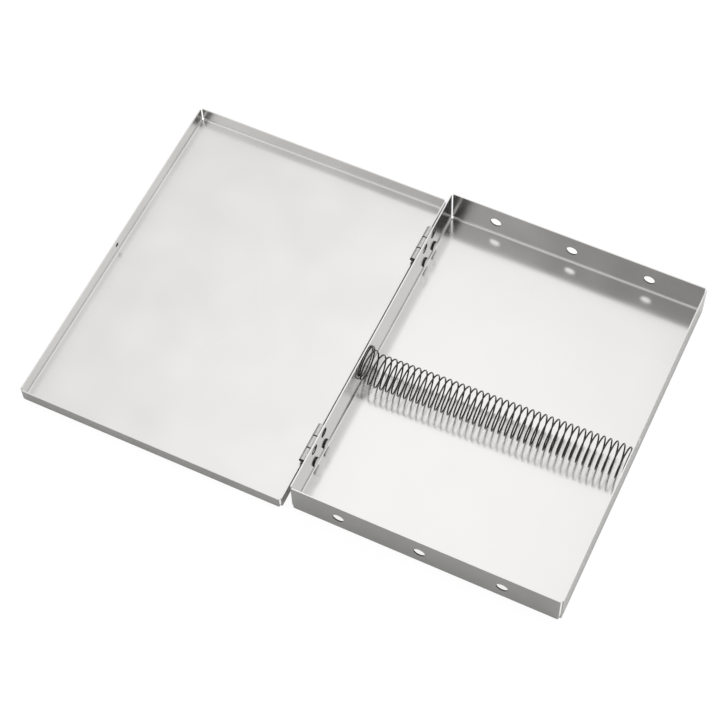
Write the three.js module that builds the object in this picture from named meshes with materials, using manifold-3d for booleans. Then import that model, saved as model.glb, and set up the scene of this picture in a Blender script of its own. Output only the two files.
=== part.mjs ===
// Hinged sheet-steel needle case, lying open: a folded tray with a coil-spring rack across it,
// and a shallower folded lid that swings over it on two small butt hinges.
// Millimetres, +Z up. The origin is the centre of the tray's underside, X runs from the hinge
// side (-) to the free side (+), Y along the hinge line, and the lid is drawn lying open.
import * as THREE from 'three';
import { mergeVertices } from 'three/addons/utils/BufferGeometryUtils.js';
import Module from 'manifold-3d';

const wasm = await Module();
wasm.setup();

// ---------------------------------------------------------------- driving dimensions
const SHEET = 0.4;            // steel sheet of the tray and lid
const CORNER_NOTCH = 0.7;     // each folded wall stops this short of the corner
const FOLD_RADIUS = 1;        // outside of the bends
const FOLD_STEPS = 6;
const TOUCH = 0.02;           // gap left between pieces that bear on each other

const TRAY_WIDTH = 86;
const TRAY_LENGTH = 115;
const TRAY_DEPTH = 13;

const LID_DEPTH = 5.6;
const LID_GAP_HINGE_SIDE = 1.35;
const LID_GAP_FREE_SIDE = 1;
const LID_GAP_ENDS = 1.2;
const LID_GAP_TOP = 0.25;

const VENT_RADIUS = 1.85;
const VENT_HEIGHT = 6.4;
const VENT_PITCH = 26;
const VENT_MIDDLE_X = -1.4;

const CATCH_Y = 0.9;
const CATCH_HEIGHT = 10.3;
const CATCH_RADIUS = 1.1;     // of the bump in the tray's wall and the dimple in the lid's
const CATCH_DEPTH = 0.5;      // how far each is pressed out of its wall
const PRESSED_STEPS = 4;
const PRESSED_FOOT = 0.02;

const HINGE_Y = 39.1;         // the two hinges stand this far
const HINGE_MIDDLE_Y = 0.45;  // from here
const HINGE_OUT = 2.1;        // from the tray's wall to the pin
const HINGE_LENGTH = 13.2;
const KNUCKLE_RADIUS = 1.2;
const KNUCKLE_WRAP = 300;     // degrees of roll from the leaf round the pin
const KNUCKLE_STEPS = 20;
const KNUCKLE_GAP = 0.35;
const LEAF_THICKNESS = 0.45;
const LEAF_CORNER = 0.8;
const TRAY_LEAF_BOTTOM = 1.1;
const TRAY_LEAF_TOP = 4.7;
const LID_LEAF_BOTTOM = 1.6;
const LID_LEAF_TOP = 5;
const LEAF_JOG_TOP = 0.75;    // each leaf has stepped over to the barrel this far below the pin
const LEAF_JOG_SLANT = 0.1;
const PIN_RADIUS = 0.68;
const PIN_LENGTH = 13.9;
const PIN_CHAMFER = 0.18;
const ROUND_SIDES = 20;

const RIVET_SHANK = 0.95;
const RIVET_HOLE = 1;
const TRAY_RIVET_PITCH = 6.75;
const TRAY_RIVET_HEIGHT = 2.9;
const TRAY_RIVET_HEAD = { radius: 1.65, height: 0.7 };
const TRAY_RIVET_TAIL = { radius: 1.3, height: 0.25 };
const LID_RIVET_PITCH = 6.3;
const LID_RIVET_HEAD = { radius: 1.4, height: 0.5 };
const LID_RIVET_TAIL = { radius: 1.12, height: 0.25 };
const HEAD_HOLE_RADIUS = 1.7; // holes in the tray wall that the shut lid's rivet heads face
const HEAD_HOLE_HEIGHT = 10.2;
const RIVET_SIDES = 16;
const HEAD_STEPS = 4;
const HEAD_LEAN = 0.08;       // a head's side draws in this far
const HEAD_SIDE = 0.55;       // over this share of its height, and then rounds over
const HEAD_FULLNESS = 0.7;    // 1 is a plain dome, and less is flatter on top

const WIRE_RADIUS = 0.25;
const WIRE_SIDES = 5;
const COIL_RADIUS = 5.17;     // to the middle of the wire
const COIL_PITCH = 2.0525;
const COIL_STRETCH = 0.00046; // the turns open up a little towards the free side
const COIL_HEIGHT = 5.9;      // the coil lies just clear of the tray's floor
const COIL_LEFT_Y = -7.6;     // where its axis meets the hinge-side wall
const COIL_RIGHT_Y = -5.06;   // and the free-side wall: the rack sits a little askew
const COIL_PHASE_X = 2.26;    // where a turn crosses its axis height on the far side
const STEPS_PER_TURN = 9;
const LEFT_CROWD = { from: -15.5, each: 0.12 }; // the turns before the hinge-side end stand closer
const LEFT_END = { turn: -22.5, flat: -22.4, free: -20.2, widen: 0.2, shiftY: 1.1, shiftZ: 0.55 };
const RIGHT_END = { turn: 19.918, free: 19.2, lean: 17.5, shiftX: 0.3, shiftY: -0.6 };
const WIRE_HOLE_RADIUS = 0.55;
const TAIL_LENGTH = 2.6;
const END_ROOM = 0.03;        // part of a turn left at each end, where the wire bends into its hole

// ---------------------------------------------------------------- derived places
const trayHalfWidth = TRAY_WIDTH / 2;
const trayHalfLength = TRAY_LENGTH / 2;
// shut, the rim of the lid's wall ends just above the hinge barrel; open, just below it
const hingeX = -trayHalfWidth - HINGE_OUT;
const hingeZ = (TRAY_DEPTH + LID_GAP_TOP + SHEET) / 2;
const lidWidth = TRAY_WIDTH + LID_GAP_HINGE_SIDE + LID_GAP_FREE_SIDE + 2 * SHEET;
const lidLength = TRAY_LENGTH + 2 * (LID_GAP_ENDS + SHEET);
// the lid turns half a revolution about the pin, so its open place mirrors its closed one
const lidNearFace = 2 * hingeX + trayHalfWidth + LID_GAP_HINGE_SIDE + SHEET;
const lidMiddleX = lidNearFace - lidWidth / 2;
const openHeight = (closedHeight) => 2 * hingeZ - closedHeight;

// ---------------------------------------------------------------- solids and geometry helpers
const ALONG_X = new THREE.Matrix4().set(0, 0, 1, 0, 1, 0, 0, 0, 0, 1, 0, 0, 0, 0, 0, 1);
const ALONG_Y = new THREE.Matrix4().set(1, 0, 0, 0, 0, 0, -1, 0, 0, 1, 0, 0, 0, 0, 0, 1);

function solidOf(geometry) {
  const bare = geometry.clone();
  bare.deleteAttribute('normal');
  bare.deleteAttribute('uv');
  const merged = mergeVertices(bare, 1e-4);
  const corners = merged.index.array;
  const triangles = [];
  for (let i = 0; i < corners.length; i += 3) {
    const [a, b, c] = [corners[i], corners[i + 1], corners[i + 2]];
    if (a !== b && b !== c && c !== a) triangles.push(a, b, c);
  }
  return new wasm.Manifold(new wasm.Mesh({
    numProp: 3,
    vertProperties: Float32Array.from(merged.attributes.position.array),
    triVerts: Uint32Array.from(triangles),
  }));
}

function geometryOf(solid) {
  const { vertProperties, triVerts } = solid.getMesh();
  const geometry = new THREE.BufferGeometry();
  geometry.setAttribute('position', new THREE.BufferAttribute(Float32Array.from(vertProperties), 3));
  geometry.setIndex(Array.from(triVerts));
  geometry.computeVertexNormals();
  return geometry;
}

const join = (solids) => solids.reduce((sum, next) => sum.add(next));
const cut = (solid, tools) => tools.reduce((left, tool) => left.subtract(tool), solid);

// a round bar along X or Y, centred on the point given
function bar(axis, radius, length, [x, y, z], sides = ROUND_SIDES) {
  const geometry = new THREE.CylinderGeometry(radius, radius, length, sides);
  if (axis === 'x') geometry.rotateZ(Math.PI / 2);
  return solidOf(geometry.translate(x, y, z));
}

// a turned shape from its (radius, height) profile, laid with its top facing +X (1) or -X (-1),
// or left standing along Y (0)
function lathed(profile, sides, topSide) {
  const points = profile.map(([radius, height]) => new THREE.Vector2(Math.max(radius, 0), height));
  points[0].x = 0;
  points[points.length - 1].x = 0;
  return solidOf(new THREE.LatheGeometry(points, sides).rotateZ((-topSide * Math.PI) / 2));
}

const shapeOf = (points) => new THREE.Shape(points.map(([u, v]) => new THREE.Vector2(u, v)));

// a (y, z) outline drawn out along X
function drawnAlongX(points, x0, x1) {
  const geometry = new THREE.ExtrudeGeometry(shapeOf(points), { depth: x1 - x0, bevelEnabled: false });
  return solidOf(geometry.applyMatrix4(ALONG_X).translate(x0, 0, 0));
}

// an (x, z) outline drawn out along Y
function drawnAlongY(points, y0, y1) {
  const geometry = new THREE.ExtrudeGeometry(shapeOf(points), { depth: y1 - y0, bevelEnabled: false });
  return solidOf(geometry.applyMatrix4(ALONG_Y).translate(0, y1, 0));
}

function arc(u, v, radius, fromDegrees, toDegrees, steps = FOLD_STEPS) {
  return Array.from({ length: steps + 1 }, (_, i) => {
    const angle = THREE.MathUtils.degToRad(fromDegrees + ((toDegrees - fromDegrees) * i) / steps);
    return [u + radius * Math.cos(angle), v + radius * Math.sin(angle)];
  });
}

// ---------------------------------------------------------------- folded sheet pans
// a bend from the floor up to the start of its wall, on the side given (+1 or -1)
function bend(side, half) {
  const start = half - FOLD_RADIUS;
  const outline = [
    ...arc(start, FOLD_RADIUS, FOLD_RADIUS, -90, 0),
    ...arc(start, FOLD_RADIUS, FOLD_RADIUS - SHEET, 0, -90),
  ];
  return outline.map(([u, v]) => [side * u, v]);
}

// a floor with four bends and four upright walls; each wall stands a little past its bend's
// ends, so that only a slit is left at the corner, with a small relief notch under it
function foldedPan(width, length, depth) {
  const flatX = width / 2 - FOLD_RADIUS;
  const flatY = length / 2 - FOLD_RADIUS;
  const wallX = width / 2 - CORNER_NOTCH;
  const wallY = length / 2 - CORNER_NOTCH;
  const trough = [...bend(1, width / 2), ...bend(-1, width / 2).reverse()];
  const upright = (side, half) => [
    [side * (half - SHEET), FOLD_RADIUS],
    [side * half, FOLD_RADIUS],
    [side * half, depth],
    [side * (half - SHEET), depth],
  ];
  const walls = [-1, 1].flatMap((side) => [
    drawnAlongX(bend(side, length / 2), -flatX, flatX),
    drawnAlongY(upright(side, width / 2), -wallY, wallY),
    drawnAlongX(upright(side, length / 2), -wallX, wallX),
  ]);
  return join([drawnAlongY(trough, -flatY, flatY), ...walls]);
}

const hingePlaces = [HINGE_MIDDLE_Y - HINGE_Y, HINGE_MIDDLE_Y + HINGE_Y];
const rivetPlaces = (pitch) => hingePlaces.flatMap((y) => [-1, 1].map((end) => y + (end * pitch) / 2));

// a low dome standing out to +X or -X from the point given, with a foot that reaches back
// into the sheet
function domeAlongX(radius, height, [x, y, z], topSide) {
  const rounds = arc(0, 0, 1, 0, 90, PRESSED_STEPS).map(
    ([u, v]) => [radius * u, PRESSED_FOOT + (height - PRESSED_FOOT) * v],
  );
  const profile = [[0, -SHEET / 2], [radius, -SHEET / 2], ...rounds];
  return lathed(profile, ROUND_SIDES, topSide).translate([x, y, z]);
}

// a catch pressed outwards in a wall, so that it is hollow behind
function withCatch(pan, outerX, side, z) {
  const bump = domeAlongX(CATCH_RADIUS, CATCH_DEPTH, [outerX, CATCH_Y, z], side);
  const dent = domeAlongX(
    CATCH_RADIUS - SHEET / 2, CATCH_DEPTH, [outerX - side * SHEET, CATCH_Y, z], side,
  );
  return pan.add(bump).subtract(dent);
}

function trayBody() {
  const wallX = trayHalfWidth - SHEET / 2;
  const vents = [-1, 0, 1].flatMap((place) => [-1, 1].map((end) => bar(
    'y', VENT_RADIUS, 4 * SHEET,
    [VENT_MIDDLE_X + place * VENT_PITCH, end * (trayHalfLength - SHEET / 2), VENT_HEIGHT],
  )));
  const rivetHoles = rivetPlaces(TRAY_RIVET_PITCH).map(
    (y) => bar('x', RIVET_HOLE, 4 * SHEET, [-wallX, y, TRAY_RIVET_HEIGHT], RIVET_SIDES),
  );
  const headHoles = rivetPlaces(LID_RIVET_PITCH).map(
    (y) => bar('x', HEAD_HOLE_RADIUS, 4 * SHEET, [-wallX, y, HEAD_HOLE_HEIGHT]),
  );
  const wireHoles = [[-wallX, LEFT_END.turn], [wallX, RIGHT_END.turn]].map(([x, turn]) => {
    const { y, z } = coilPoint(turn);
    return bar('x', WIRE_HOLE_RADIUS, 4 * SHEET, [x, y, z], RIVET_SIDES);
  });
  const pan = foldedPan(TRAY_WIDTH, TRAY_LENGTH, TRAY_DEPTH);
  const caught = withCatch(pan, trayHalfWidth, 1, CATCH_HEIGHT);
  return cut(caught, [...vents, ...rivetHoles, ...headHoles, ...wireHoles]);
}

function lidBody() {
  const nearWallX = lidNearFace - SHEET / 2;
  const rivetHoles = rivetPlaces(LID_RIVET_PITCH).map(
    (y) => bar('x', RIVET_HOLE, 4 * SHEET, [nearWallX, y, openHeight(HEAD_HOLE_HEIGHT)], RIVET_SIDES),
  );
  const pan = foldedPan(lidWidth, lidLength, LID_DEPTH).translate([lidMiddleX, 0, 0]);
  // the tray's catch bump clicks into this dimple when the lid is shut
  return cut(withCatch(pan, lidNearFace - lidWidth, -1, openHeight(CATCH_HEIGHT)), rivetHoles);
}

// ---------------------------------------------------------------- butt hinges
// a leaf's flat plate, standing along the wall, with its lower corners rounded
function leafPlate(x0, x1, y, bottom, top) {
  const left = y - HINGE_LENGTH / 2;
  const right = y + HINGE_LENGTH / 2;
  const outline = [
    [left, top],
    ...arc(left + LEAF_CORNER, bottom + LEAF_CORNER, LEAF_CORNER, 180, 270, 3),
    ...arc(right - LEAF_CORNER, bottom + LEAF_CORNER, LEAF_CORNER, 270, 360, 3),
    [right, top],
  ];
  return drawnAlongX(outline, x0, x1);
}

// the middle third of the barrel belongs to the lid, the outer thirds to the tray
function barrelThirds(y) {
  const third = HINGE_LENGTH / 3;
  const start = y - HINGE_LENGTH / 2;
  return [0, 1, 2].map((place) => [
    start + place * third + (place > 0 ? KNUCKLE_GAP / 2 : 0),
    start + (place + 1) * third - (place < 2 ? KNUCKLE_GAP / 2 : 0),
  ]);
}

const leafRivetHoles = (y, pitch, x, z) => [-1, 1].map(
  (end) => bar('x', RIVET_HOLE, 4 * LEAF_THICKNESS, [x, y + (end * pitch) / 2, z], RIVET_SIDES),
);

// the rolled end of a leaf's strip, from the tray's side of the pin over the top and round
// underneath until it nearly meets the strip again
const rolledEye = [
  ...arc(hingeX, hingeZ, KNUCKLE_RADIUS, 0, KNUCKLE_WRAP, KNUCKLE_STEPS),
  ...arc(hingeX, hingeZ, KNUCKLE_RADIUS - LEAF_THICKNESS, KNUCKLE_WRAP, 0, KNUCKLE_STEPS),
];

function trayLeaf(y) {
  const face = -trayHalfWidth - TOUCH;
  const tangent = hingeX + KNUCKLE_RADIUS;
  const [first, , last] = barrelThirds(y);
  // the strip steps out from the wall to meet the barrel's side
  const jogTop = hingeZ - LEAF_JOG_TOP;
  const strip = [
    [face, TRAY_LEAF_TOP - LEAF_CORNER],
    [face, TRAY_LEAF_TOP],
    [tangent, jogTop - LEAF_JOG_SLANT],
    ...rolledEye,
    [tangent - LEAF_THICKNESS, jogTop],
    [face - LEAF_THICKNESS, TRAY_LEAF_TOP + LEAF_JOG_SLANT],
    [face - LEAF_THICKNESS, TRAY_LEAF_TOP - LEAF_CORNER],
  ];
  const plate = leafPlate(face - LEAF_THICKNESS, face, y, TRAY_LEAF_BOTTOM, TRAY_LEAF_TOP);
  const holes = leafRivetHoles(y, TRAY_RIVET_PITCH, face - LEAF_THICKNESS / 2, TRAY_RIVET_HEIGHT);
  return cut(join([plate, drawnAlongY(strip, ...first), drawnAlongY(strip, ...last)]), holes);
}

function lidLeaf(y) {
  const face = lidNearFace + TOUCH;
  const tangent = hingeX + KNUCKLE_RADIUS;
  const [, middle] = barrelThirds(y);
  // this strip steps the other way, past the lid's rim, to the same side of the barrel
  const jogTop = hingeZ - LEAF_JOG_TOP;
  const strip = [
    [face + LEAF_THICKNESS, LID_LEAF_TOP - LEAF_CORNER],
    [face + LEAF_THICKNESS, LID_LEAF_TOP - LEAF_JOG_SLANT],
    [tangent, jogTop - LEAF_JOG_SLANT],
    ...rolledEye,
    [tangent - LEAF_THICKNESS, jogTop],
    [face, LID_LEAF_TOP],
    [face, LID_LEAF_TOP - LEAF_CORNER],
  ];
  const plate = leafPlate(face, face + LEAF_THICKNESS, y, LID_LEAF_BOTTOM, LID_LEAF_TOP);
  const holes = leafRivetHoles(
    y, LID_RIVET_PITCH, face + LEAF_THICKNESS / 2, openHeight(HEAD_HOLE_HEIGHT),
  );
  return cut(join([plate, drawnAlongY(strip, ...middle)]), holes);
}

function hingePin() {
  const half = PIN_LENGTH / 2;
  const profile = [
    [0, -half],
    [PIN_RADIUS - PIN_CHAMFER, -half],
    [PIN_RADIUS, -half + PIN_CHAMFER],
    [PIN_RADIUS, half - PIN_CHAMFER],
    [PIN_RADIUS - PIN_CHAMFER, half],
    [0, half],
  ];
  return lathed(profile, ROUND_SIDES, 0);
}

// ---------------------------------------------------------------- rivets
// drawn along Y with the button head's underside at 0 and the head upwards, then laid along X
function rivet(head, tail, grip, headSide) {
  const round = arc(0, 0, 1, 0, 90, HEAD_STEPS).slice(0, -1).map(([u, v]) => [
    (head.radius - HEAD_LEAN) * u ** HEAD_FULLNESS,
    head.height * (HEAD_SIDE + (1 - HEAD_SIDE) * v),
  ]);
  const profile = [
    [0, -grip - tail.height],
    [tail.radius * 0.8, -grip - tail.height],
    [tail.radius, -grip - tail.height * 0.6],
    [tail.radius, -grip],
    [RIVET_SHANK, -grip],
    [RIVET_SHANK, 0],
    [head.radius, 0],
    ...round,
    [0, head.height],
  ];
  return lathed(profile, RIVET_SIDES, headSide);
}

// ---------------------------------------------------------------- coil spring
const rightLean = (turn) => THREE.MathUtils.smoothstep(turn, RIGHT_END.lean, RIGHT_END.turn);
const coilX = (turn) => COIL_PHASE_X + COIL_PITCH * turn + COIL_STRETCH * turn ** 2
  + LEFT_CROWD.each * Math.max(LEFT_CROWD.from - turn, 0) + RIGHT_END.shiftX * rightLean(turn);
const wallWireX = trayHalfWidth - SHEET - WIRE_RADIUS - 2 * TOUCH;
const innerHalf = trayHalfWidth - SHEET;
const coilAxisY = (x) => COIL_LEFT_Y + ((COIL_RIGHT_Y - COIL_LEFT_Y) * (x + innerHalf)) / (2 * innerHalf);

// past its last free turn the coil eases up to the free-side wall and then follows it
function coilRise(turn) {
  const over = turn - RIGHT_END.free;
  if (over <= 0) return coilX(turn);
  const easing = (2 * (wallWireX - coilX(RIGHT_END.free))) / COIL_PITCH;
  const eased = Math.min(over, easing);
  return coilX(RIGHT_END.free) + COIL_PITCH * (eased - eased ** 2 / (2 * easing));
}

// the wire's centre after this many turns from the middle: a left-hand helix whose last two
// turns open out and lean over until the wire lies on the hinge-side wall
function coilPoint(turn) {
  const free = THREE.MathUtils.smoothstep(turn, LEFT_END.flat, LEFT_END.free);
  const angle = 2 * Math.PI * turn;
  const radius = COIL_RADIUS + LEFT_END.widen * (1 - free);
  const x = THREE.MathUtils.lerp(-wallWireX, Math.max(coilRise(turn), -wallWireX), free);
  return new THREE.Vector3(
    x,
    coilAxisY(x) + LEFT_END.shiftY * (1 - free) + RIGHT_END.shiftY * rightLean(turn)
      + radius * Math.cos(angle),
    COIL_HEIGHT + LEFT_END.shiftZ * (1 - free) - radius * Math.sin(angle),
  );
}

// the hinge-side end goes through its hole and is bent down outside the wall
function leftTail() {
  const { y, z } = coilPoint(LEFT_END.turn);
  const outerWireX = trayHalfWidth + WIRE_RADIUS + 2 * TOUCH;
  const path = [
    [trayHalfWidth - SHEET - WIRE_RADIUS / 2, -0.08],
    [trayHalfWidth - SHEET / 2, 0],
    [trayHalfWidth + 0.08, 0.1],
    [outerWireX, 0.42],
    [outerWireX, TAIL_LENGTH],
  ];
  return path.map(([x, below]) => new THREE.Vector3(-x, y, z - below));
}

// the free-side end stands in its hole and is cut off just inside the outer face
function rightTail() {
  const { y, z } = coilPoint(RIGHT_END.turn);
  return [
    new THREE.Vector3(trayHalfWidth - SHEET - WIRE_RADIUS / 2, y + 0.08, z),
    new THREE.Vector3(trayHalfWidth - SHEET / 2, y, z),
    new THREE.Vector3(trayHalfWidth - TOUCH, y, z),
  ];
}

function springPath() {
  const first = LEFT_END.turn + END_ROOM;
  const last = RIGHT_END.turn - END_ROOM;
  const steps = Math.round((last - first) * STEPS_PER_TURN);
  const turns = Array.from({ length: steps + 1 }, (_, i) => coilPoint(first + ((last - first) * i) / steps));
  return [...leftTail().reverse(), ...turns, ...rightTail()];
}

// a curve whose even steps are its own points, so that tight bends keep their short steps
class PointCurve extends THREE.Curve {
  constructor(points) {
    super();
    this.points = points;
  }

  getPoint(t, target = new THREE.Vector3()) {
    const place = t * (this.points.length - 1);
    const index = Math.min(Math.floor(place), this.points.length - 2);
    return target.lerpVectors(this.points[index], this.points[index + 1], place - index);
  }

  getPointAt(u, target) {
    return this.getPoint(u, target);
  }

  getTangentAt(u, target = new THREE.Vector3()) {
    const step = 1 / (this.points.length - 1);
    const before = this.getPoint(Math.max(u - step, 0));
    const after = this.getPoint(Math.min(u + step, 1));
    return target.copy(after).sub(before).normalize();
  }
}

function coilSpring() {
  const points = springPath();
  const section = shapeOf(arc(0, 0, WIRE_RADIUS, 0, 360 - 360 / WIRE_SIDES, WIRE_SIDES - 1));
  return solidOf(new THREE.ExtrudeGeometry(section, {
    steps: points.length - 1,
    extrudePath: new PointCurve(points),
    bevelEnabled: false,
  }));
}

// ---------------------------------------------------------------- the assembly
const FINISHES = {
  pan: { color: 0xdededc, roughness: 0.16 },
  hinge: { color: 0xb9b9bb, roughness: 0.28 },
  rivet: { color: 0x9c9c9e, roughness: 0.3 },
  wire: { color: 0x6f6f72, roughness: 0.25 },
};

function piece(name, solid, finish, [x, y, z] = [0, 0, 0]) {
  const material = new THREE.MeshStandardMaterial({ ...FINISHES[finish], metalness: 1 });
  const mesh = new THREE.Mesh(geometryOf(solid), material);
  mesh.name = name;
  mesh.position.set(x, y, z);
  return mesh;
}

const caseGroup = new THREE.Group();
caseGroup.add(piece('tray', trayBody(), 'pan'));
caseGroup.add(piece('lid', lidBody(), 'pan'));
caseGroup.add(piece('coil_spring', coilSpring(), 'wire'));

for (const [end, y] of [['front', hingePlaces[0]], ['back', hingePlaces[1]]]) {
  caseGroup.add(piece(`${end}_hinge_tray_leaf`, trayLeaf(y), 'hinge'));
  caseGroup.add(piece(`${end}_hinge_lid_leaf`, lidLeaf(y), 'hinge'));
  caseGroup.add(piece(`${end}_hinge_pin`, hingePin(), 'wire', [hingeX, y, hingeZ]));
}

// a rivet's grip: sheet and leaf, with a gap under the head, between them and over the tail
const grip = SHEET + LEAF_THICKNESS + 3 * TOUCH;
rivetPlaces(TRAY_RIVET_PITCH).forEach((y, index) => {
  const solid = rivet(TRAY_RIVET_HEAD, TRAY_RIVET_TAIL, grip, 1);
  const x = -trayHalfWidth + SHEET + TOUCH;
  caseGroup.add(piece(`tray_rivet_${index + 1}`, solid, 'rivet', [x, y, TRAY_RIVET_HEIGHT]));
});
rivetPlaces(LID_RIVET_PITCH).forEach((y, index) => {
  const solid = rivet(LID_RIVET_HEAD, LID_RIVET_TAIL, grip, -1);
  const x = lidNearFace - SHEET - TOUCH;
  caseGroup.add(piece(`lid_rivet_${index + 1}`, solid, 'rivet', [x, y, openHeight(HEAD_HOLE_HEIGHT)]));
});

export default caseGroup;
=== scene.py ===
"""Looks of a hinged steel needle case, lying open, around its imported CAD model.

Blender's metres, in the same frame as the CAD. Sizes and places are written in millimetres, and
turn into metres where they are multiplied by MM.
"""
import bmesh
import bpy
import math
from mathutils import Matrix, Vector


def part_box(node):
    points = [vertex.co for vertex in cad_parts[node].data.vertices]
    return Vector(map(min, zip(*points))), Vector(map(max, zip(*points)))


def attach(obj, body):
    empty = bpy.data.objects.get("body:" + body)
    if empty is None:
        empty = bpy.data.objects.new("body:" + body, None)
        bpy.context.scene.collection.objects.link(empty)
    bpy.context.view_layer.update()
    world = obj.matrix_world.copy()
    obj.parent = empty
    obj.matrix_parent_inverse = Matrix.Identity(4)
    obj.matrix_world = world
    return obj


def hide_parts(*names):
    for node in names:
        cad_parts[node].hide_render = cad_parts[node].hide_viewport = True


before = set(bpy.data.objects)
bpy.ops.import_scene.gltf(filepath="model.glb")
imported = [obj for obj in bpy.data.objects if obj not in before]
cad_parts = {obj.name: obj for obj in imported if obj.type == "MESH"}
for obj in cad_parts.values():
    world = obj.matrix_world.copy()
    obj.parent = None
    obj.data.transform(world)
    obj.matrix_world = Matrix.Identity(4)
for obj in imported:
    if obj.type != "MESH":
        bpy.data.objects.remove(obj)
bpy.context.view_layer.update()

MM = 0.001

# ---------------------------------------------------------------- the case's own sizes
SHEET = 0.4                     # steel sheet of the tray and lid
LEAF_THICKNESS = 0.45           # strip of the hinge leaves
TOUCH = 0.02                    # gap left between pieces that bear on each other
TRAY_HALF_WIDTH = 43.0
INNER_HALF = TRAY_HALF_WIDTH - SHEET

HINGE_OUT = 2.1                 # from the tray's wall to the pins' line
HINGE_HEIGHT = 6.825
HINGE_Y = 39.1                  # the two hinges stand this far
HINGE_MIDDLE_Y = 0.45           # from here
HINGE_AXIS = (-TRAY_HALF_WIDTH - HINGE_OUT, 0, HINGE_HEIGHT)
KNUCKLE_REACH = 1.3             # the rolled part of a leaf lies this close to the axis

VENT_RADIUS, VENT_HEIGHT = 1.85, 6.4
VENT_PITCH, VENT_MIDDLE_X = 26.0, -1.4
HEAD_HOLE_RADIUS, HEAD_HOLE_HEIGHT = 1.7, 10.2  # holes that the shut lid's rivet heads face
HEAD_HOLE_PITCH = 6.3

# the tray's round holes: the axis that each runs along, its centre across that axis, its height
# and its radius
ALONG_X, ALONG_Y = 0, 1
VENT_PLACES = [VENT_MIDDLE_X + place * VENT_PITCH for place in (-1, 0, 1)]
HEAD_HOLE_PLACES = [HINGE_MIDDLE_Y + hinge * HINGE_Y + end * HEAD_HOLE_PITCH / 2
                    for hinge in (-1, 1) for end in (-1, 1)]
TRAY_HOLES = [(ALONG_Y, place, VENT_HEIGHT, VENT_RADIUS) for place in VENT_PLACES]
TRAY_HOLES += [(ALONG_X, place, HEAD_HOLE_HEIGHT, HEAD_HOLE_RADIUS) for place in HEAD_HOLE_PLACES]
HOLE_EDGE = 0.1                 # the inside faces of a hole lie this close to its radius
FACES_ACROSS = 0.5              # and their normals have less than this along its axis

# the lower lip of the catch, which is a hollow in the lid's far wall, where shade is painted
LIP_TOP = (-134.6, 0.9, 3.45)   # just above the hollow's middle
LIP_REACH = 1.0                 # the lip's faces are this close to it and lower
LIP_LEAN = (0.5, 0.999)         # and look this much along X, less than the flat wall does

# ---------------------------------------------------------------- how the meshes are finished
SHEET_EDGE = 0.05               # how far the sheet's cut edges are eased
LEAF_EDGE = 0.06                # and those of the hinge leaves and pins
MERGE_WITHIN = 0.002            # the CAD's corners that lie this close are one
FLAT_WITHIN = math.radians(0.5)         # triangles that turn less than this are one flat face
SHARP_EDGE = math.radians(28)           # bends turn in 15 degree steps, so only cut edges pass it
RIVET_SHARP_EDGE = math.radians(40)

# ---------------------------------------------------------------- the studio
SWEEP_GLOW = 1.3                # the sweep's overexposed level, of which
SWEEP_SHADOW = 0.3              # this share still shows the shadow
SWEEP_IN_METAL = 0.05           # how much of the glow the metal shows
PAINTED_LIGHT_SIDE_X = (41.5, 44.0)       # the sweep's colour is painted lighter, as painted light, past the tray's free side
TABLE_HALF = 8.0                # in metres
TABLE_DROP = 0.02               # how far the table lies below the case

LAMP_TOWARDS = (-0.188, 0.411, 0.892)   # the direction in which the tent is brightest
LAMP_LEVEL = 1.26                       # and the tent's level there
RIGHT_LEVEL = 0.8               # of the tent's cloth at the right
OPENING_BELOW = 0.75            # a step down from its middle counts as this much of one up

AZIMUTH, ELEVATION, ROLL = (math.radians(v) for v in (27.873, 59.757, -2.703))
CAMERA_PLACE = (99.06, -275.91, 527.59)
CAMERA_LENS, CAMERA_SENSOR = 97.9, 36.0
CAMERA_NEAREST = 10             # nothing closer to the camera is drawn


# ---------------------------------------------------------------- colours and nodes
def linear(hex_code):
    """An sRGB hex colour as the linear colour a shader takes."""
    channels = [int(hex_code[i:i + 2], 16) / 255 for i in (1, 3, 5)]
    return tuple(c / 12.92 if c <= 0.04045 else ((c + 0.055) / 1.055) ** 2.4 for c in channels) + (1.0,)


def add_node(tree, kind, settings=None, stops=(), **inputs):
    """Adds a node: settings are its own properties, stops are a colour ramp's places, each with a
    grey or a hex colour, and inputs are values or the outputs that feed them."""
    node = tree.nodes.new(kind)
    for name, value in (settings or {}).items():
        setattr(node, name, value)
    if stops:
        elements = node.color_ramp.elements
        while len(elements) < len(stops):
            elements.new(0.5)
        for element, (place, value) in zip(elements, stops):
            element.position = place
            element.color = linear(value) if isinstance(value, str) else (value, value, value, 1)
    for name, value in inputs.items():
        key = name.replace("_", " ")
        socket = node.inputs[int(key[1:])] if key[0] == "i" and key[1:].isdigit() else node.inputs[key]
        if isinstance(value, bpy.types.NodeSocket):
            tree.links.new(value, socket)
        else:
            socket.default_value = value
    return node


def new_material(name):
    material = bpy.data.materials.new(name)
    material.use_nodes = True
    material.node_tree.nodes.clear()
    return material, material.node_tree


def per_metre(size):
    """The scale at which a noise has marks of this size."""
    return 1 / (size * MM)


def over_clouds(low, high):
    """Stops from low to high over nearly the whole of a soft noise."""
    return [(0.1, low), (0.9, high)]


def over_grain(low, high):
    """Stops from low to high over the middle of a fine noise, where most of it lies."""
    return [(0.3, low), (0.7, high)]


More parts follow.
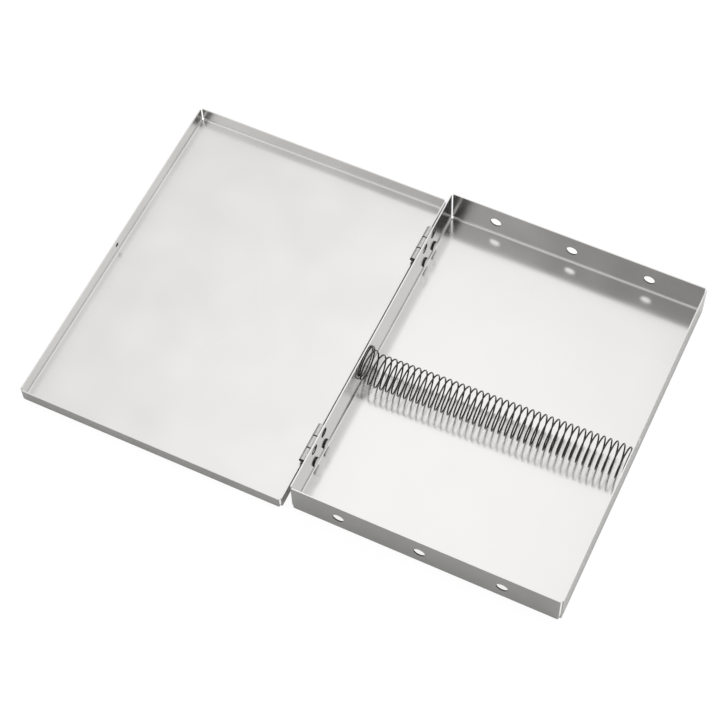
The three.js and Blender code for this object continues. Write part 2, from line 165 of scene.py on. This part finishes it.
# ---------------------------------------------------------------- finishes
def steel_sheet(name, tones, roughness, waviness):
    """Thin stainless sheet: a slow waviness left by the rolling mill bends long reflections, and
    faint clouds left by cleaning break up the mirror."""
    material, tree = new_material(name)
    place = add_node(tree, "ShaderNodeTexCoord").outputs["Object"]
    cloud = add_node(tree, "ShaderNodeTexNoise", Vector=place, Scale=per_metre(20), Detail=1.0)
    rolling = add_node(tree, "ShaderNodeTexNoise", Vector=place, Scale=per_metre(23.8), Detail=1.0)
    lean = add_node(tree, "ShaderNodeVectorMath", {"operation": "SUBTRACT"},
                    i0=rolling.outputs["Color"], i1=(0.5, 0.5, 0.5))
    slope = add_node(tree, "ShaderNodeVectorMath", {"operation": "SCALE"},
                     i0=lean.outputs["Vector"], Scale=waviness)
    flat = add_node(tree, "ShaderNodeNewGeometry").outputs["Normal"]
    wave = add_node(tree, "ShaderNodeVectorMath", {"operation": "ADD"}, i0=flat, i1=slope.outputs["Vector"])
    facing = add_node(tree, "ShaderNodeVectorMath", {"operation": "NORMALIZE"}, i0=wave.outputs["Vector"])
    rough = add_node(tree, "ShaderNodeValToRGB", stops=over_clouds(*roughness), Fac=cloud.outputs["Fac"])
    tint = add_node(tree, "ShaderNodeValToRGB", stops=over_clouds(*tones), Fac=cloud.outputs["Fac"])
    shader = add_node(tree, "ShaderNodeBsdfPrincipled", Metallic=1.0, Base_Color=tint.outputs["Color"],
                      Roughness=rough.outputs["Color"], Normal=facing.outputs["Vector"])
    add_node(tree, "ShaderNodeOutputMaterial", Surface=shader.outputs["BSDF"])
    return material


def buffed_tray_sheet():
    """Buffed stainless: a clear mirror that softens only the edges of what it shows."""
    return steel_sheet("buffed stainless sheet", ("#dfdedc", "#eae9e8"), (0.15, 0.23), 0.02)


def satin_lid_sheet():
    """Bright annealed stainless, not buffed: a satin sheen, with reflections as soft bands."""
    return steel_sheet("satin stainless sheet", ("#e1e0de", "#eeedec"), (0.23, 0.27), 0.03)


def dull_edge_painted_shade():
    """The torn, dull edge that a punch leaves in the sheet, made dark as painted shade, which stands for
    the shade in the tray's holes and the catch's hollow. Its tears are drawn coarser than real ones, so
    that they show."""
    material, tree = new_material("dull sheet edge, painted shade")
    place = add_node(tree, "ShaderNodeTexCoord").outputs["Object"]
    tear = add_node(tree, "ShaderNodeTexNoise", Vector=place, Scale=per_metre(0.4), Detail=3.0)
    bump = add_node(tree, "ShaderNodeBump", Height=tear.outputs["Fac"], Strength=0.4, Distance=0.03 * MM)
    # painted shade: this dark tint stands for the shade inside holes and hollows
    tint = add_node(tree, "ShaderNodeValToRGB", stops=over_grain("#2a2928", "#4a4947"),
                    Fac=tear.outputs["Fac"])
    shader = add_node(tree, "ShaderNodeBsdfPrincipled", Metallic=1.0, Base_Color=tint.outputs["Color"],
                      Roughness=0.45, Normal=bump.outputs["Normal"])
    add_node(tree, "ShaderNodeOutputMaterial", Surface=shader.outputs["BSDF"])
    return material


def tumbled_hinge_steel():
    """Stainless strip, pressed and barrel-tumbled: a soft silvery sheen with small dings. The ends of its
    knuckles, which face along the pin, are painted dark as the shade between the knuckles, and draw lines
    between them."""
    material, tree = new_material("tumbled stainless strip, painted knuckle shade")
    texture = add_node(tree, "ShaderNodeTexCoord")
    dings = add_node(tree, "ShaderNodeTexNoise", Vector=texture.outputs["Object"],
                     Scale=per_metre(0.556), Detail=3.0)
    bump = add_node(tree, "ShaderNodeBump", Height=dings.outputs["Fac"], Strength=0.12, Distance=0.04 * MM)
    rough = add_node(tree, "ShaderNodeValToRGB", stops=over_grain(0.2, 0.34), Fac=dings.outputs["Fac"])
    normal = add_node(tree, "ShaderNodeSeparateXYZ", Vector=texture.outputs["Normal"])
    along_pin = add_node(tree, "ShaderNodeMath", {"operation": "ABSOLUTE"}, i0=normal.outputs["Y"])
    from_pin = add_node(tree, "ShaderNodeVectorMath", {"operation": "SUBTRACT"},
                        i0=texture.outputs["Object"], i1=tuple(v * MM for v in HINGE_AXIS))
    across_pin = add_node(tree, "ShaderNodeVectorMath", {"operation": "MULTIPLY"},
                          i0=from_pin.outputs["Vector"], i1=(1, 0, 1))
    reach = add_node(tree, "ShaderNodeVectorMath", {"operation": "LENGTH"}, i0=across_pin.outputs["Vector"])
    rolled = add_node(tree, "ShaderNodeMath", {"operation": "LESS_THAN"},
                      i0=reach.outputs["Value"], i1=KNUCKLE_REACH * MM)
    knuckle_end_shade = add_node(tree, "ShaderNodeMath", {"operation": "MULTIPLY"},
                       i0=along_pin.outputs["Value"], i1=rolled.outputs["Value"])
    # painted shade: the knuckles' ends, which face along the pin, are tinted dark
    tint = add_node(tree, "ShaderNodeValToRGB", stops=[(0.4, "#d0cfce"), (0.7, "#2c2b2a")],
                    Fac=knuckle_end_shade.outputs["Value"])
    shader = add_node(tree, "ShaderNodeBsdfPrincipled", Metallic=1.0, Base_Color=tint.outputs["Color"],
                      Roughness=rough.outputs["Color"], Normal=bump.outputs["Normal"])
    add_node(tree, "ShaderNodeOutputMaterial", Surface=shader.outputs["BSDF"])
    return material


def set_rivet_steel():
    """Stainless rivets, set with a cupped punch. Their tops are painted bright and their sides dark, as
    painted light and shade, and their undersides are painted bright, so that they leave only a pale spot in
    the tray's floor."""
    material, tree = new_material("stainless rivet, painted light and shade")
    texture = add_node(tree, "ShaderNodeTexCoord")
    marks = add_node(tree, "ShaderNodeTexNoise", Vector=texture.outputs["Object"],
                     Scale=per_metre(1.11), Detail=2.0)
    bump = add_node(tree, "ShaderNodeBump", Height=marks.outputs["Fac"], Strength=0.3, Distance=0.05 * MM)
    rough = add_node(tree, "ShaderNodeValToRGB", stops=over_grain(0.14, 0.24), Fac=marks.outputs["Fac"])
    normal = add_node(tree, "ShaderNodeSeparateXYZ", Vector=texture.outputs["Normal"])
    along_rivet = add_node(tree, "ShaderNodeMath", {"operation": "ABSOLUTE"}, i0=normal.outputs["X"])
    # painted light and shade: tops bright and sides dark, by how far a face looks along the rivet
    dome = add_node(tree, "ShaderNodeValToRGB", stops=[(0.5, "#3a3937"), (0.74, "#dad9d7")],
                    Fac=along_rivet.outputs["Value"])
    # painted light: undersides bright, so that the tray's floor mirrors only a pale spot
    painted_bright_underside = add_node(tree, "ShaderNodeMapRange", Value=normal.outputs["Z"], From_Min=-0.05, From_Max=-0.45)
    tint = add_node(tree, "ShaderNodeMixRGB", Fac=painted_bright_underside.outputs["Result"],
                    Color1=dome.outputs["Color"], Color2=linear("#cfcecc"))
    shader = add_node(tree, "ShaderNodeBsdfPrincipled", Metallic=1.0, Base_Color=tint.outputs["Color"],
                      Roughness=rough.outputs["Color"], Normal=bump.outputs["Normal"])
    add_node(tree, "ShaderNodeOutputMaterial", Surface=shader.outputs["BSDF"])
    return material


def drawn_spring_wire():
    """Drawn spring wire, dark from its hardening: deep grey, with a thin light line where it turns to the
    sky. Its undersides are painted bright, as painted light, so that the tray's floor mirrors only pale
    stripes. The drawing leaves finer marks than the ones here, which are coarse enough to show."""
    material, tree = new_material("dark drawn spring wire")
    texture = add_node(tree, "ShaderNodeTexCoord")
    grain = add_node(tree, "ShaderNodeTexNoise", Vector=texture.outputs["Object"],
                     Scale=per_metre(1.43), Detail=2.0)
    rough = add_node(tree, "ShaderNodeValToRGB", stops=over_grain(0.2, 0.3), Fac=grain.outputs["Fac"])
    dark = add_node(tree, "ShaderNodeValToRGB", stops=over_grain("#484644", "#5a5856"),
                    Fac=grain.outputs["Fac"])
    normal = add_node(tree, "ShaderNodeSeparateXYZ", Vector=texture.outputs["Normal"])
    # painted light: undersides bright, so that the tray's floor mirrors only pale stripes
    painted_bright_underside = add_node(tree, "ShaderNodeMapRange", Value=normal.outputs["Z"], From_Min=-0.02, From_Max=-0.35)
    tint = add_node(tree, "ShaderNodeMixRGB", Fac=painted_bright_underside.outputs["Result"],
                    Color1=dark.outputs["Color"], Color2=linear("#dddcdb"))
    shader = add_node(tree, "ShaderNodeBsdfPrincipled", Metallic=1.0, Base_Color=tint.outputs["Color"],
                      Roughness=rough.outputs["Color"])
    add_node(tree, "ShaderNodeOutputMaterial", Surface=shader.outputs["BSDF"])
    return material


def white_sweep():
    """A studio's white sweep: overexposed to plain white, with the case's soft shadow left on it.
    Metal shows it too, mostly at the level that it is lit to beside the case. Past the tray's free side the
    paper's colour is painted lighter, a painted pool of light where no lid stands in the light's way. The
    paper's fibre is drawn much coarser than it is."""
    material, tree = new_material("white studio sweep")
    place = add_node(tree, "ShaderNodeTexCoord").outputs["Object"]
    fibre = add_node(tree, "ShaderNodeTexNoise", Vector=place, Scale=per_metre(3.33), Detail=2.0)
    grey = add_node(tree, "ShaderNodeValToRGB", stops=over_grain("#c0c0bf", "#c4c4c3"),
                    Fac=fibre.outputs["Fac"])
    across = add_node(tree, "ShaderNodeSeparateXYZ", Vector=place).outputs["X"]
    # painted light: the paper's colour is lighter past the tray's free side
    painted_light_side = add_node(tree, "ShaderNodeMapRange", Value=across,
                        From_Min=PAINTED_LIGHT_SIDE_X[0] * MM, From_Max=PAINTED_LIGHT_SIDE_X[1] * MM)
    tint = add_node(tree, "ShaderNodeMixRGB", Fac=painted_light_side.outputs["Result"],
                    Color1=grey.outputs["Color"], Color2=linear("#fbfbfa"))
    paper = add_node(tree, "ShaderNodeBsdfDiffuse", Color=tint.outputs["Color"])
    glow = add_node(tree, "ShaderNodeEmission", Color=linear("#ffffff"), Strength=SWEEP_GLOW)
    bright = add_node(tree, "ShaderNodeMixShader", Fac=SWEEP_SHADOW,
                      i1=glow.outputs["Emission"], i2=paper.outputs["BSDF"])
    seen = add_node(tree, "ShaderNodeLightPath")
    mirrored = add_node(tree, "ShaderNodeMath", {"operation": "MAXIMUM"},
                        i0=seen.outputs["Is Glossy Ray"], i1=seen.outputs["Is Transmission Ray"])
    in_metal = add_node(tree, "ShaderNodeMath", {"operation": "MULTIPLY"},
                        i0=mirrored.outputs["Value"], i1=SWEEP_IN_METAL)
    share = add_node(tree, "ShaderNodeMath", {"operation": "MAXIMUM"},
                     i0=seen.outputs["Is Camera Ray"], i1=in_metal.outputs["Value"])
    shader = add_node(tree, "ShaderNodeMixShader", Fac=share.outputs["Value"],
                      i1=paper.outputs["BSDF"], i2=bright.outputs["Shader"])
    add_node(tree, "ShaderNodeOutputMaterial", Surface=shader.outputs["Shader"])
    return material


# ---------------------------------------------------------------- meshes
def mesh_object(name, mesh, material):
    mesh.materials.clear()
    mesh.materials.append(material)
    piece = bpy.data.objects.new(name, mesh)
    bpy.context.scene.collection.objects.link(piece)
    return piece


def made_plain(piece):
    """The piece with its modifiers worked into a plain mesh."""
    result = bpy.data.meshes.new_from_object(piece.evaluated_get(bpy.context.evaluated_depsgraph_get()))
    material = piece.data.materials[0]
    piece.modifiers.clear()
    piece.data = result
    piece.data.materials.clear()
    piece.data.materials.append(material)
    return piece


def smooth_by_angle(mesh, angle):
    """Smooth shading, with hard edges wherever two faces meet at more than the angle."""
    work = bmesh.new()
    work.from_mesh(mesh)
    for face in work.faces:
        face.smooth = True
    for edge in work.edges:
        edge.smooth = len(edge.link_faces) == 2 and edge.calc_face_angle(0) < angle
    work.to_mesh(mesh)
    work.free()


def eased_copy(node, name, material, ease):
    """A copy of a CAD solid with its flat faces made whole and its cut edges eased."""
    work = bmesh.new()
    work.from_mesh(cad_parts[node].data)
    bmesh.ops.remove_doubles(work, verts=work.verts, dist=MERGE_WITHIN * MM)
    bmesh.ops.dissolve_limit(work, angle_limit=FLAT_WITHIN, verts=work.verts, edges=work.edges)
    mesh = bpy.data.meshes.new(name)
    work.to_mesh(mesh)
    work.free()
    piece = mesh_object(name, mesh, material)
    bevel = piece.modifiers.new("eased edges", "BEVEL")
    bevel.width = ease * MM
    bevel.segments = 2
    bevel.limit_method = "ANGLE"
    bevel.angle_limit = SHARP_EDGE
    bevel.use_clamp_overlap = True
    made_plain(piece)
    smooth_by_angle(piece.data, SHARP_EDGE)
    # flat faces keep their own normals, so that a mirror finish shows them flat up to the bend
    weighted = piece.modifiers.new("flat faces stay flat", "WEIGHTED_NORMAL")
    weighted.mode = "FACE_AREA"
    weighted.keep_sharp = True
    return made_plain(piece)


def paint_shade_in_holes(pan, holes, finish):
    """Paints shade on the narrow inside faces of the pan's round holes: they get the dark painted-shade
    finish.
    """
    pan.data.materials.append(finish)
    for face in pan.data.polygons:
        for axis, across, height, radius in holes:
            out = math.hypot(face.center[1 - axis] / MM - across, face.center.z / MM - height)
            if abs(out - radius) < HOLE_EDGE and abs(face.normal[axis]) < FACES_ACROSS:
                face.material_index = 1


def paint_shade_on_catch_lip(pan, finish):
    """Paints shade on the lower lip of the lid's catch hollow: it gets the dark painted-shade finish."""
    pan.data.materials.append(finish)
    top = Vector(LIP_TOP) * MM
    for face in pan.data.polygons:
        curved = LIP_LEAN[0] < face.normal.x < LIP_LEAN[1]
        if curved and face.center.z < top.z and (face.center - top).length < LIP_REACH * MM:
            face.material_index = 1


def lathe(profile, sides):
    """A closed turned mesh about Z from its (radius, height) profile, from the bottom up."""
    work = bmesh.new()
    angles = [2 * math.pi * i / sides for i in range(sides)]
    rings = []
    for radius, height in profile:
        around = angles if radius > 0 else angles[:1]
        rings.append([work.verts.new((radius * math.cos(a), radius * math.sin(a), height)) for a in around])
    for lower, upper in zip(rings, rings[1:]):
        for i in range(sides):
            places = [(lower, i), (lower, i + 1), (upper, i + 1), (upper, i)]
            corners = list(dict.fromkeys(ring[k % len(ring)] for ring, k in places))
            if len(corners) > 2:
                work.faces.new(corners)
    bmesh.ops.recalc_face_normals(work, faces=work.faces)
    return work


# ---------------------------------------------------------------- geometry nodes
def new_tree(name, inputs):
    """An empty geometry node tree with named inputs; returns it and its input node."""
    tree = bpy.data.node_groups.new(name, "GeometryNodeTree")
    tree.interface.new_socket("Geometry", in_out="INPUT", socket_type="NodeSocketGeometry")
    for label, kind in inputs.items():
        tree.interface.new_socket(label, in_out="INPUT", socket_type=kind)
    tree.interface.new_socket("Geometry", in_out="OUTPUT", socket_type="NodeSocketGeometry")
    return tree, tree.nodes.new("NodeGroupInput")


def end_tree(tree, geometry, finish):
    """The tree's end: instances made real and the finish set."""
    real = add_node(tree, "GeometryNodeRealizeInstances", Geometry=geometry)
    done = add_node(tree, "GeometryNodeSetMaterial", Geometry=real.outputs["Geometry"], Material=finish)
    add_node(tree, "NodeGroupOutput", Geometry=done.outputs["Geometry"])


def run_tree(piece, tree, values):
    """Puts the tree on the piece with its inputs set, and works it into a plain mesh."""
    modifier = piece.modifiers.new(tree.name, "NODES")
    modifier.node_group = tree
    sockets = {s.name: s.identifier for s in tree.interface.items_tree if s.in_out == "INPUT"}
    for label, value in values.items():
        modifier[sockets[label]] = value
    return made_plain(piece)


def wire_tree():
    """Draws a round wire along the piece's own line of points."""
    tree, given = new_tree("wire along its path", {
        "Wire radius": "NodeSocketFloat",
        "Round sides": "NodeSocketInt",
        "Finish": "NodeSocketMaterial",
    })
    line = add_node(tree, "GeometryNodeMeshToCurve", Mesh=given.outputs["Geometry"])
    ring = add_node(tree, "GeometryNodeCurvePrimitiveCircle", Resolution=given.outputs["Round sides"],
                    Radius=given.outputs["Wire radius"])
    tube = add_node(tree, "GeometryNodeCurveToMesh", Curve=line.outputs["Curve"],
                    Profile_Curve=ring.outputs["Curve"], Fill_Caps=True)
    smooth = add_node(tree, "GeometryNodeSetShadeSmooth", Geometry=tube.outputs["Mesh"])
    end_tree(tree, smooth.outputs["Geometry"], given.outputs["Finish"])
    return tree


def rivet_tree():
    """Sets one rivet, given as an object, on each point of the piece."""
    tree, given = new_tree("rivets at their places", {
        "Rivet": "NodeSocketObject",
        "Lean": "NodeSocketVector",
        "Finish": "NodeSocketMaterial",
    })
    shape = add_node(tree, "GeometryNodeObjectInfo", Object=given.outputs["Rivet"])
    lean = add_node(tree, "FunctionNodeEulerToRotation", Euler=given.outputs["Lean"])
    placed = add_node(tree, "GeometryNodeInstanceOnPoints", Points=given.outputs["Geometry"],
                      Instance=shape.outputs["Geometry"], Rotation=lean.outputs["Rotation"])
    end_tree(tree, placed.outputs["Instances"], given.outputs["Finish"])
    return tree


# ---------------------------------------------------------------- the coil spring
# the same path as the CAD spring's; turns are counted from one near the tray's middle
WIRE_RADIUS = 0.25
WIRE_SIDES = 14
COIL_RADIUS = 5.17              # to the middle of the wire
COIL_PITCH = 2.0525
COIL_STRETCH = 0.00046          # the turns open up a little towards the free side
COIL_HEIGHT = 5.9               # the coil lies just clear of the tray's floor
COIL_PHASE_X = 2.26             # where a turn crosses its axis height on the far side
COIL_AXIS_Y = (-7.6, -5.06)     # where its axis meets the hinge-side and the free-side wall
STEPS_PER_TURN = 32
LEFT_CROWD_FROM, LEFT_CROWD_EACH = -15.5, 0.12  # the turns before the hinge-side end stand closer
LEFT_TURN, LEFT_FLAT, LEFT_FREE = -22.5, -22.4, -20.2
LEFT_WIDEN, LEFT_SHIFT_Y, LEFT_SHIFT_Z = 0.2, 1.1, 0.55
RIGHT_TURN, RIGHT_FREE, RIGHT_LEAN = 19.918, 19.2, 17.5
RIGHT_SHIFT_X, RIGHT_SHIFT_Y = 0.3, -0.6
WALL_WIRE_X = INNER_HALF - WIRE_RADIUS - 2 * TOUCH  # of a turn that lies on a wall
TAIL_LENGTH = 2.6
END_ROOM = 0.03                 # part of a turn left at each end, where the wire bends into its hole
CORNER_CUT = 0.25               # share of each side that rounding takes from a corner
CORNER_ROUNDS = 2


def smoothstep(value, low, high):
    t = min(max((value - low) / (high - low), 0), 1)
    return t * t * (3 - 2 * t)


def right_lean(turn):
    """How far a turn takes part in the lean of the free-side end, from 0 to 1."""
    return smoothstep(turn, RIGHT_LEAN, RIGHT_TURN)


def coil_x(turn):
    """Where a turn would stand if the walls were not there."""
    crowded = LEFT_CROWD_EACH * max(LEFT_CROWD_FROM - turn, 0)
    even = COIL_PHASE_X + COIL_PITCH * turn + COIL_STRETCH * turn ** 2
    return even + crowded + RIGHT_SHIFT_X * right_lean(turn)


def coil_rise(turn):
    """The same, with the last turn easing in to lie flat on the free-side wall."""
    over = turn - RIGHT_FREE
    if over <= 0:
        return coil_x(turn)
    easing = 2 * (WALL_WIRE_X - coil_x(RIGHT_FREE)) / COIL_PITCH
    eased = min(over, easing)
    return coil_x(RIGHT_FREE) + COIL_PITCH * (eased - eased ** 2 / (2 * easing))


def coil_point(turn):
    free = smoothstep(turn, LEFT_FLAT, LEFT_FREE)
    angle = 2 * math.pi * turn
    radius = COIL_RADIUS + LEFT_WIDEN * (1 - free)
    x = -WALL_WIRE_X + max(coil_rise(turn) + WALL_WIRE_X, 0) * free
    axis_y = COIL_AXIS_Y[0] + (COIL_AXIS_Y[1] - COIL_AXIS_Y[0]) * (x + INNER_HALF) / (2 * INNER_HALF)
    return Vector((
        x,
        axis_y + LEFT_SHIFT_Y * (1 - free) + RIGHT_SHIFT_Y * right_lean(turn) + radius * math.cos(angle),
        COIL_HEIGHT + LEFT_SHIFT_Z * (1 - free) - radius * math.sin(angle),
    ))


def left_tail():
    """Up the outside of the hinge-side wall, and in through the hole to the inner face."""
    start = coil_point(LEFT_TURN)
    outer_x = TRAY_HALF_WIDTH + WIRE_RADIUS + 2 * TOUCH
    path = [
        (outer_x, TAIL_LENGTH),
        (outer_x, 0.42),
        (TRAY_HALF_WIDTH + 0.08, 0.1),
        (TRAY_HALF_WIDTH - SHEET / 2, 0),
        (INNER_HALF - WIRE_RADIUS / 2, -0.08),
    ]
    return [Vector((-x, start.y, start.z - below)) for x, below in path]


def right_tail():
    """Into the free-side wall's hole, and cut off just inside its outer face."""
    end = coil_point(RIGHT_TURN)
    path = [
        (INNER_HALF - WIRE_RADIUS / 2, 0.08),
        (TRAY_HALF_WIDTH - SHEET / 2, 0),
        (TRAY_HALF_WIDTH - TOUCH, 0),
    ]
    return [Vector((x, end.y + aside, end.z)) for x, aside in path]


def rounded_path(points):
    """Cuts each corner of a line of points, which rounds the wire's tight bends."""
    for _ in range(CORNER_ROUNDS):
        cut = [points[0]]
        for a, b in zip(points, points[1:]):
            cut += [a.lerp(b, CORNER_CUT), a.lerp(b, 1 - CORNER_CUT)]
        points = cut + [points[-1]]
    return points


def coil_spring(material):
    first, last = LEFT_TURN + END_ROOM, RIGHT_TURN - END_ROOM
    steps = round((last - first) * STEPS_PER_TURN)
    turns = [coil_point(first + (last - first) * i / steps) for i in range(steps + 1)]
    left = rounded_path(left_tail() + turns[:1])
    right = rounded_path(turns[-1:] + right_tail())
    path = left + turns[1:-1] + right
    mesh = bpy.data.meshes.new("wire path")
    mesh.from_pydata([p * MM for p in path], [(i, i + 1) for i in range(len(path) - 1)], [])
    piece = mesh_object("rack_spring", mesh, material)
    return run_tree(piece, wire_tree(), {
        "Wire radius": WIRE_RADIUS * MM, "Round sides": WIRE_SIDES, "Finish": material,
    })


# ---------------------------------------------------------------- rivets
# a head and a tail are given as their (radius, height)
TRAY_RIVET_HEAD, TRAY_RIVET_TAIL = (1.65, 0.7), (1.3, 0.25)
LID_RIVET_HEAD, LID_RIVET_TAIL = (1.4, 0.5), (1.12, 0.25)
RIVET_SHANK = 0.95
RIVET_SIDES = 32
GRIP = SHEET + LEAF_THICKNESS + 3 * TOUCH       # between a rivet's head and its tail
TAIL_OUTLINE = [(0, 1), (0.7, 1), (0.92, 0.8), (1, 0.45), (1, 0)]   # as shares of radius and height
HEAD_RIM = (0.03, 0.05)         # how far in and up the head's lower edge is cut
HEAD_LEAN = 0.08                # a head's side draws in this far
HEAD_SIDE = 0.55                # over this share of its height, and then rounds over
HEAD_FULLNESS = 0.7             # 1 is a plain dome, and less is flatter on top
HEAD_STEPS = 8


def rivet_shape(head, tail, material):
    """One rivet along Z with its head's underside at 0: a button head and a flatter set tail."""
    profile = [(tail[0] * out, -GRIP - tail[1] * down) for out, down in TAIL_OUTLINE]
    profile += [(RIVET_SHANK, -GRIP), (RIVET_SHANK, 0), (head[0] - HEAD_RIM[0], 0), (head[0], HEAD_RIM[1])]
    for step in range(HEAD_STEPS):
        angle = math.pi / 2 * step / HEAD_STEPS
        out = (head[0] - HEAD_LEAN) * math.cos(angle) ** HEAD_FULLNESS
        profile.append((out, head[1] * (HEAD_SIDE + (1 - HEAD_SIDE) * math.sin(angle))))
    profile.append((0, head[1]))
    work = lathe([(radius * MM, height * MM) for radius, height in profile], RIVET_SIDES)
    mesh = bpy.data.meshes.new("rivet shape")
    work.to_mesh(mesh)
    work.free()
    smooth_by_angle(mesh, RIVET_SHARP_EDGE)
    return mesh_object("rivet shape", mesh, material)


def rivet_row(name, nodes, head, tail, side, material):
    """The rivets of one body, each where its CAD solid is, with its head towards +X or -X."""
    seats = []
    for node in nodes:
        low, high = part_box(node)
        top = high.x if side > 0 else low.x
        seats.append((top - side * head[1] * MM, (low.y + high.y) / 2, (low.z + high.z) / 2))
    mesh = bpy.data.meshes.new(name)
    mesh.from_pydata(seats, [], [])
    piece = mesh_object(name, mesh, material)
    shape = rivet_shape(head, tail, material)
    run_tree(piece, rivet_tree(), {
        "Rivet": shape, "Lean": (0.0, side * math.pi / 2, 0.0), "Finish": material,
    })
    bpy.data.objects.remove(shape)
    return piece


# ---------------------------------------------------------------- studio
def set_table():
    mesh = bpy.data.meshes.new("table")
    corners = [(-1, -1), (1, -1), (1, 1), (-1, 1)]
    mesh.from_pydata([(x * TABLE_HALF, y * TABLE_HALF, 0) for x, y in corners], [], [(0, 1, 2, 3)])
    table = mesh_object("table", mesh, white_sweep())
    table.location.z = -TABLE_DROP * MM


def hang_tent(sideways, upwards, to_camera):
    """A white tent, brightest behind and above the case, with a dark opening that the camera looks
    in through: the steel mirrors the tent, and the opening only in its corners, rivets and wire."""
    world = bpy.data.worlds.new("white tent")
    bpy.context.scene.world = world
    world.use_nodes = True
    sky = world.node_tree
    sky.nodes.clear()
    towards = add_node(sky, "ShaderNodeTexCoord").outputs["Generated"]
    across, above, in_front, lift = (
        add_node(sky, "ShaderNodeVectorMath", {"operation": "DOT_PRODUCT"},
                 i0=towards, i1=tuple(axis)).outputs["Value"]
        for axis in (sideways, upwards, to_camera, Vector((0, 0, 1)) + to_camera / 2)
    )
    below = add_node(sky, "ShaderNodeMath", {"operation": "MULTIPLY"}, i0=above, i1=-OPENING_BELOW)
    height = add_node(sky, "ShaderNodeMath", {"operation": "MAXIMUM"}, i0=above, i1=below.outputs["Value"])
    offset = add_node(sky, "ShaderNodeCombineXYZ", X=across, Y=height.outputs["Value"])
    distance = add_node(sky, "ShaderNodeVectorMath", {"operation": "LENGTH"}, i0=offset.outputs["Vector"])
    opening = add_node(sky, "ShaderNodeValToRGB", stops=[
        (0.2, 0.02), (0.3, 0.33), (0.46, 0.36), (0.525, 1.0),
    ], Fac=distance.outputs["Value"])
    facing = add_node(sky, "ShaderNodeMath", {"operation": "GREATER_THAN"}, i0=in_front, i1=0.0)
    tent = add_node(sky, "ShaderNodeMixRGB", Fac=facing.outputs["Value"],
                    Color1=linear("#ffffff"), Color2=opening.outputs["Color"])
    # one soft lamp behind the tent's cloth makes it brightest where the tray's floor mirrors it
    lamp_off = add_node(sky, "ShaderNodeVectorMath", {"operation": "DISTANCE"}, i0=towards, i1=LAMP_TOWARDS)
    lamp = add_node(sky, "ShaderNodeValToRGB", stops=[
        (0.0, 1.0), (0.08, 0.975), (0.12, 0.94), (0.16, 0.82), (0.2, 0.68), (0.3, 0.66), (0.55, 0.8),
    ], Fac=lamp_off.outputs["Value"])
    # the tent's cloth is darker low down, most of all on the side away from the camera, but at the
    # right it hangs evenly grey from top to foot
    foot = add_node(sky, "ShaderNodeValToRGB", stops=[(0.3, 0.4), (0.75, 1.0)], Fac=lift)
    far_side = add_node(sky, "ShaderNodeValToRGB", stops=[(0.6, 0.0), (0.85, 1.0)], Fac=across)
    cloth = add_node(sky, "ShaderNodeMixRGB", Fac=far_side.outputs["Color"],
                     Color1=foot.outputs["Color"], Color2=(RIGHT_LEVEL,) * 3 + (1,))
    lit = add_node(sky, "ShaderNodeMath", {"operation": "MULTIPLY"},
                   i0=lamp.outputs["Color"], i1=cloth.outputs["Color"])
    strength = add_node(sky, "ShaderNodeMath", {"operation": "MULTIPLY"},
                        i0=lit.outputs["Value"], i1=LAMP_LEVEL)
    background = add_node(sky, "ShaderNodeBackground", Color=tent.outputs["Color"],
                          Strength=strength.outputs["Value"])
    add_node(sky, "ShaderNodeOutputWorld", Surface=background.outputs["Background"])


def set_camera(sideways, upwards, to_camera):
    data = bpy.data.cameras.new("camera")
    data.sensor_width = CAMERA_SENSOR
    data.lens = CAMERA_LENS
    data.clip_start = CAMERA_NEAREST * MM
    camera = bpy.data.objects.new("camera", data)
    bpy.context.scene.collection.objects.link(camera)
    right = sideways * math.cos(ROLL) + upwards * math.sin(ROLL)
    turned = Matrix((right, to_camera.cross(right), to_camera)).transposed().to_4x4()
    camera.matrix_world = Matrix.Translation(Vector(CAMERA_PLACE) * MM) @ turned
    bpy.context.scene.camera = camera


# ---------------------------------------------------------------- building
edge_painted_shade = dull_edge_painted_shade()
hinge_steel = tumbled_hinge_steel()
rivet_steel = set_rivet_steel()
spring_steel = drawn_spring_wire()

for node, steel in (("tray", buffed_tray_sheet()), ("lid", satin_lid_sheet())):
    pan = eased_copy(node, f"{node}_sheet", steel, SHEET_EDGE)
    if node == "tray":
        # painted shade on the inside faces of the tray's holes
        paint_shade_in_holes(pan, TRAY_HOLES, edge_painted_shade)
    else:
        # painted shade on the lower lip of the lid's catch
        paint_shade_on_catch_lip(pan, edge_painted_shade)
    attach(pan, f"{node}_body")
    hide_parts(node)

spring = coil_spring(spring_steel)
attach(spring, "tray_body")
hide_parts("coil_spring")

for prefix, head, tail, side in (
    ("tray", TRAY_RIVET_HEAD, TRAY_RIVET_TAIL, 1),
    ("lid", LID_RIVET_HEAD, LID_RIVET_TAIL, -1),
):
    nodes = [f"{prefix}_rivet_{i}" for i in range(1, 5)]
    rivets = rivet_row(f"{prefix}_rivets", nodes, head, tail, side, rivet_steel)
    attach(rivets, f"{prefix}_body")
    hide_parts(*nodes)

for end in ("front", "back"):
    for part, body, steel, slot in (
        ("tray_leaf", "tray_body", hinge_steel, "hinge_steel"),
        ("lid_leaf", "lid_body", hinge_steel, "hinge_steel"),
        ("pin", "tray_body", spring_steel, "drawn_wire"),
    ):
        node = f"{end}_hinge_{part}"
        piece = eased_copy(node, f"{node}_rolled", steel, LEAF_EDGE)
        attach(piece, body)
        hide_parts(node)

to_camera = Vector((
    math.sin(AZIMUTH) * math.cos(ELEVATION),
    -math.cos(AZIMUTH) * math.cos(ELEVATION),
    math.sin(ELEVATION),
))
sideways = Vector((math.cos(AZIMUTH), math.sin(AZIMUTH), 0))
upwards = to_camera.cross(sideways)
set_table()
hang_tent(sideways, upwards, to_camera)
set_camera(sideways, upwards, to_camera)
bpy.context.scene.view_settings.view_transform = "Standard"

bpy.context.view_layer.update()
